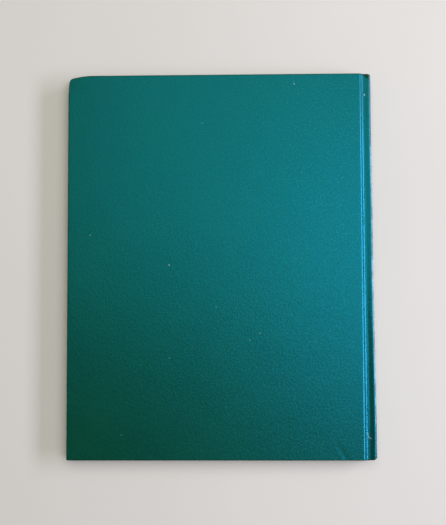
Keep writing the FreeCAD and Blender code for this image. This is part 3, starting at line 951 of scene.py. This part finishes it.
def streak_group(name):
    """Node group: 1 within a short streak between two points, 0 outside."""
    sockets = (("Place", "Vector"), ("Start", "Vector"), ("End", "Vector"), ("Width", "Float"))
    group, entry, leave = new_group(name, sockets, "Mask", "Float")
    from_start = add_node(group, "VectorMath", operation="SUBTRACT")
    link(group, entry["Place"], from_start.inputs[0])
    link(group, entry["Start"], from_start.inputs[1])
    way = add_node(group, "VectorMath", operation="SUBTRACT")
    link(group, entry["End"], way.inputs[0])
    link(group, entry["Start"], way.inputs[1])
    shares = []
    for first in (from_start, way):
        product = add_node(group, "VectorMath", operation="DOT_PRODUCT")
        link(group, first.outputs[0], product.inputs[0])
        link(group, way.outputs[0], product.inputs[1])
        shares.append(product.outputs["Value"])
    share = ranged(group, worked(group, "DIVIDE", *shares), 0, 1, 0, 1)
    reached = add_node(group, "VectorMath", operation="SCALE")
    link(group, way.outputs[0], reached.inputs[0])
    link(group, share, reached.inputs["Scale"])
    off = add_node(group, "VectorMath", operation="DISTANCE")
    link(group, from_start.outputs[0], off.inputs[0])
    link(group, reached.outputs[0], off.inputs[1])
    near = worked(group, "DIVIDE", off.outputs["Value"], entry["Width"])
    link(group, ranged(group, near, 0.6, 1.0, 1, 0), leave)
    return group


def place_parts(tree):
    """X, Y and Z of the piece's own coordinates, as sockets."""
    parts = add_node(tree, "SeparateXYZ")
    link(tree, own_place(tree), parts.inputs[0])
    return parts.outputs


def scuff_and_glint_mask(tree):
    """Pale specks and short scratches on the back cover, and one painted highlight, at their places
    in millimetres.
    """
    parts = place_parts(tree)
    place = add_node(tree, "CombineXYZ")
    link(tree, parts["X"], place.inputs["X"])
    link(tree, parts["Y"], place.inputs["Y"])
    total = 0.0
    for x, y, run, rise, width, strength in SCUFFS_AND_GLINT:
        mark = use_group(tree, group_of("streak", streak_group), Place=place.outputs[0],
                         Start=(x * MM, y * MM, 0), End=((x + run) * MM, (y + rise) * MM, 0),
                         Width=width * MM)
        total = worked(tree, "MAXIMUM", total, worked(tree, "MULTIPLY", mark, strength))
    on_face = worked(tree, "GREATER_THAN", parts["Z"], TOP - 2 * MM)
    return worked(tree, "MULTIPLY", total, on_face)


def fill_cloth(tree, shader):
    """Dark green book cloth: fine grain, a glossier joint with painted sheen, a ridge with painted
    highlight and wear, painted sheen specks towards the spine, and scuffs with one painted
    highlight.
    """
    grain = object_noise(tree, 1100, 3.0, stretch=(0.9, 0.8, 1))
    coarse = object_noise(tree, 580, 2.0, stretch=(1.1, 0.7, 1), turn=(0, 0, 0.08))
    joint = add_node(tree, "Attribute", attribute_name="joint").outputs["Fac"]
    ridge_highlight_and_rub = add_node(tree, "Attribute", attribute_name="ridge_highlight_and_rub").outputs["Fac"]
    # Pale specks painted stronger towards the spine, where the sheen falls: painted sheen on the
    # grain
    sheen_towards_spine = ranged(tree, place_parts(tree)["X"], -70 * MM, 95 * MM, 0.1, 1)
    threads = ranged(tree, object_noise(tree, 1000, 2.0, stretch=(1, 0.8, 1)), 0.52, 0.72, 0, 1)
    streaks = ranged(tree, object_noise(tree, 500, 3.0, stretch=(1, 0.25, 1)), 0.38, 0.6, 0.4, 1)
    tint = clouded(tree, tuple(case_settings().colour), 28, 4.0, 0.92, 1.08)
    # Painted sheen specks, painted sheen in the joint, painted highlight with wear on the ridge,
    # and scuffs with one painted highlight
    for mask, colour in ((worked(tree, "MULTIPLY", threads, sheen_towards_spine), PAINTED_SHEEN_SPECK),
                         (joint, JOINT_SHEEN_PAINT),
                         (worked(tree, "MULTIPLY", ridge_highlight_and_rub, streaks), RIDGE_HIGHLIGHT_AND_RUB_COLOUR),
                         (scuff_and_glint_mask(tree), SCUFF_AND_GLINT_COLOUR)):
        tint = blended(tree, mask, tint, colour)
    glazed = worked(tree, "MULTIPLY", joint, 0.1)
    rough = worked(tree, "SUBTRACT", ranged(tree, grain, 0.3, 0.7, 0.3, 0.38), glazed)
    link(tree, rough, shader.inputs["Roughness"])
    height = worked(tree, "ADD", worked(tree, "MULTIPLY", grain, 0.6),
                    worked(tree, "MULTIPLY", coarse, 1.2))
    finish_shader(tree, shader, tint, height, 1.0, 0.056 * MM,
                  Specular_IOR_Level=0.97, Specular_Tint=(0.015, 0.66, 1.0, 1))


def fill_endpaper(tree, shader):
    """Uncoated paper with faint fibres and clouding."""
    tint = clouded(tree, tuple(leaf_settings().endpaper), 18, 5.0, 0.93, 1.04)
    finish_shader(tree, shader, tint, object_noise(tree, 900, 3.0), 0.2, 0.05 * MM,
                  Roughness=0.95, Specular_IOR_Level=0.15)


def fill_leaves(tree, shader):
    """Leaves: paper whose trimmed edges show fine lines and some darkening."""
    lines = object_noise(tree, 300, 2.0, stretch=(0.02, 0.02, 12))
    dirt = object_noise(tree, 40, 4.0, stretch=(1, 1, 6))
    shade = worked(tree, "MULTIPLY", ranged(tree, lines, 0.3, 0.7, 0.82, 1.05),
                   ranged(tree, dirt, 0.35, 0.7, 0.88, 1.03))
    tint = blended(tree, 1.0, tuple(leaf_settings().colour), shade, "MULTIPLY")
    finish_shader(tree, shader, tint, lines, 0.3, 0.06 * MM,
                  Roughness=0.95, Specular_IOR_Level=0.15)


def fill_band(tree, shader):
    """Striped band: green and cream turns of thread."""
    turns = leaf_settings().threads / (LEAF_HIGH.z - LEAF_LOW.z)
    above = worked(tree, "SUBTRACT", place_parts(tree)["Z"], LEAF_LOW.z)
    along = worked(tree, "MULTIPLY", above, turns / 4)
    stripe = worked(tree, "GREATER_THAN", worked(tree, "FRACT", along, 0), 0.5)
    tint = blended(tree, stripe, CREAM_THREAD, GREEN_THREAD)
    finish_shader(tree, shader, tint, object_noise(tree, 6000, 1.0), 0.3, 0.05 * MM, Roughness=0.6)


def fill_board(tree, shader, colour):
    """Pressed grey-brown fibre board, card or lining paper."""
    tint = clouded(tree, colour, 700, 4.0, 0.76, 1.2)
    finish_shader(tree, shader, tint, object_noise(tree, 1200, 3.0), 0.3, 0.08 * MM, Roughness=0.9)


def fill_gauze(tree, shader):
    """Open starched gauze."""
    weave = 0.0
    for direction in ("Y", "X", "Z"):
        wave = add_node(tree, "TexWave", bands_direction=direction, Scale=420, Distortion=0.4)
        link(tree, own_place(tree), wave.inputs["Vector"])
        weave = worked(tree, "MAXIMUM", weave, wave.outputs["Fac"])
    tint = blended(tree, weave, GAUZE_GAP, GAUZE_THREAD)
    finish_shader(tree, shader, tint, weave, 0.5, 0.1 * MM, Roughness=0.9)


def fill_floor(tree, shader):
    """Plain pale floor with the faintest unevenness of tone, lost in white far away."""
    tint = clouded(tree, stage_settings().floor_colour, 3, 3.0, 0.98, 1.02)
    link(tree, tint, shader.inputs["Base Color"])
    shader.inputs["Roughness"].default_value = 0.75
    distance = add_node(tree, "VectorMath", operation="LENGTH")
    link(tree, own_place(tree), distance.inputs[0])
    far = ranged(tree, distance.outputs["Value"], 0.7, 2.6, 0, 0.7)
    seen = worked(tree, "MULTIPLY", far, add_node(tree, "LightPath").outputs["Is Camera Ray"])
    shader.inputs["Emission Color"].default_value = (1.0, 0.99, 0.97, 1)
    link(tree, seen, shader.inputs["Emission Strength"])


def dress_node(name, material):
    """Gives a solid that stays shown its finish."""
    mesh = frame["nodes"][name].data
    mesh.materials.clear()
    mesh.materials.append(material)


# Operators

class BOOK_OT_case(bpy.types.Operator):
    """Make the two halves of the cloth case"""
    bl_idname = "book.make_case"
    bl_label = "Cloth Case"

    def execute(self, context):
        for side in SIDES:
            build_case_half(side)
        return {"FINISHED"}


class BOOK_OT_boards(bpy.types.Operator):
    """Make the boards and the spine strip"""
    bl_idname = "book.make_boards"
    bl_label = "Boards and Spine Strip"

    def execute(self, context):
        build_spine_strip()
        for side in SIDES:
            build_board(side)
        return {"FINISHED"}


class BOOK_OT_endpapers(bpy.types.Operator):
    """Make the pastedowns and flyleaves"""
    bl_idname = "book.make_endpapers"
    bl_label = "Endpapers"

    def execute(self, context):
        for side in SIDES:
            build_pastedown(side)
            build_flyleaf(side)
        return {"FINISHED"}


class BOOK_OT_leaves(bpy.types.Operator):
    """Make the leaves of the text block"""
    bl_idname = "book.make_leaves"
    bl_label = "Leaves"

    def execute(self, context):
        build_leaves()
        return {"FINISHED"}


class BOOK_OT_bands(bpy.types.Operator):
    """Make the head and tail band"""
    bl_idname = "book.make_bands"
    bl_label = "Head and Tail Band"

    def execute(self, context):
        build_band("head_band", 1)
        build_band("tail_band", -1)
        return {"FINISHED"}


class BOOK_OT_linings(bpy.types.Operator):
    """Make the gauze flanges and finish the gauze and lining on the back"""
    bl_idname = "book.make_linings"
    bl_label = "Gauze and Lining"

    def execute(self, context):
        for side in SIDES:
            build_mull_flange(side)
        dress_node("spine_mull", material_of("gauze", fill_gauze))
        dress_node("spine_lining", material_of("lining_paper", fill_board, LINING_COLOUR))
        return {"FINISHED"}


def add_lamp(name, place, aim, size, power, colour):
    """A rectangular soft lamp that looks at a point."""
    lamp = bpy.data.lights.new(name, "AREA")
    lamp.shape = "RECTANGLE"
    lamp.size, lamp.size_y = size
    lamp.energy = power
    lamp.color = colour
    holder = bpy.data.objects.new(name, lamp)
    bpy.context.scene.collection.objects.link(holder)
    holder.location = place
    holder.rotation_euler = (Vector(aim) - Vector(place)).to_track_quat("-Z", "Y").to_euler()


class BOOK_OT_stage(bpy.types.Operator):
    """Make the floor, the lamps and the camera"""
    bl_idname = "book.make_stage"
    bl_label = "Stage"

    def execute(self, context):
        stage = stage_settings()
        ground = bmesh.new()
        bmesh.ops.create_grid(ground, x_segments=8, y_segments=8, size=6.0)
        pale = material_of("plain_floor", fill_floor)
        floor = finish_mesh(ground, "floor", pale, shade_smooth=False)
        add_lamp("window", (0.56, 0.015, 1.39), (0, 0, 0), (0.8, 0.8), 7.3, (0.83, 0.83, 1.0))
        add_lamp("ceiling", (0.07, 0.44, 1.43), (0, 0, 0), (1.1, 1.1), 9.5, (0.95, 1.0, 0.84))
        add_lamp("side", (1.25, 0.1, 0.72), (0, 0, 0), (1.2, 0.3), 18.0, (0.76, 0.8, 1.0))
        world = bpy.data.worlds.new("studio")
        context.scene.world = world
        world.use_nodes = True
        tree = world.node_tree
        background = tree.nodes["Background"]
        background.inputs["Color"].default_value = (1.0, 1.0, 1.0, 1)
        rays = add_node(tree, "LightPath")
        seen = ranged(tree, rays.outputs["Is Camera Ray"], 0, 1, 0.2, 0.75)
        mirrored = ranged(tree, rays.outputs["Is Glossy Ray"], 0, 1, 0, 0.15)
        link(tree, worked(tree, "SUBTRACT", seen, mirrored), background.inputs["Strength"])
        lens = bpy.data.cameras.new("camera")
        lens.lens = stage.lens
        lens.sensor_width = 36
        camera = bpy.data.objects.new("camera", lens)
        context.scene.collection.objects.link(camera)
        camera.location = stage.camera_place
        camera.rotation_euler = stage.camera_turn
        context.scene.camera = camera
        context.scene.view_settings.view_transform = "Standard"
        return {"FINISHED"}


class BOOK_PT_panel(bpy.types.Panel):
    """Lists the steps that dress the book"""
    bl_idname = "BOOK_PT_panel"
    bl_label = "Cloth Hardback Book"
    bl_space_type = "VIEW_3D"
    bl_region_type = "UI"
    bl_category = "Book"

    def draw(self, context):
        for step in STEPS:
            self.layout.operator(step.bl_idname)
        for settings in (case_settings(), leaf_settings(), stage_settings()):
            box = self.layout.box()
            for name in settings.bl_rna.properties.keys():
                if name not in ("name", "rna_type"):
                    box.prop(settings, name)


GROUPS = (CaseSettings, LeafSettings, StageSettings)
STEPS = (BOOK_OT_case, BOOK_OT_boards, BOOK_OT_endpapers, BOOK_OT_leaves, BOOK_OT_bands,
         BOOK_OT_linings, BOOK_OT_stage)


def register():
    for item in GROUPS + STEPS + (BOOK_PT_panel,):
        bpy.utils.register_class(item)
    bpy.types.Scene.book_case = bpy.props.PointerProperty(type=CaseSettings)
    bpy.types.Scene.book_leaves = bpy.props.PointerProperty(type=LeafSettings)
    bpy.types.Scene.book_stage = bpy.props.PointerProperty(type=StageSettings)


def unregister():
    del bpy.types.Scene.book_case
    del bpy.types.Scene.book_leaves
    del bpy.types.Scene.book_stage
    for item in reversed(GROUPS + STEPS + (BOOK_PT_panel,)):
        bpy.utils.unregister_class(item)


def main():
    register()
    bpy.ops.book.make_case()
    bpy.ops.book.make_boards()
    bpy.ops.book.make_endpapers()
    bpy.ops.book.make_leaves()
    bpy.ops.book.make_bands()
    bpy.ops.book.make_linings()
    bpy.ops.book.make_stage()


if __name__ == "__main__":
    main()
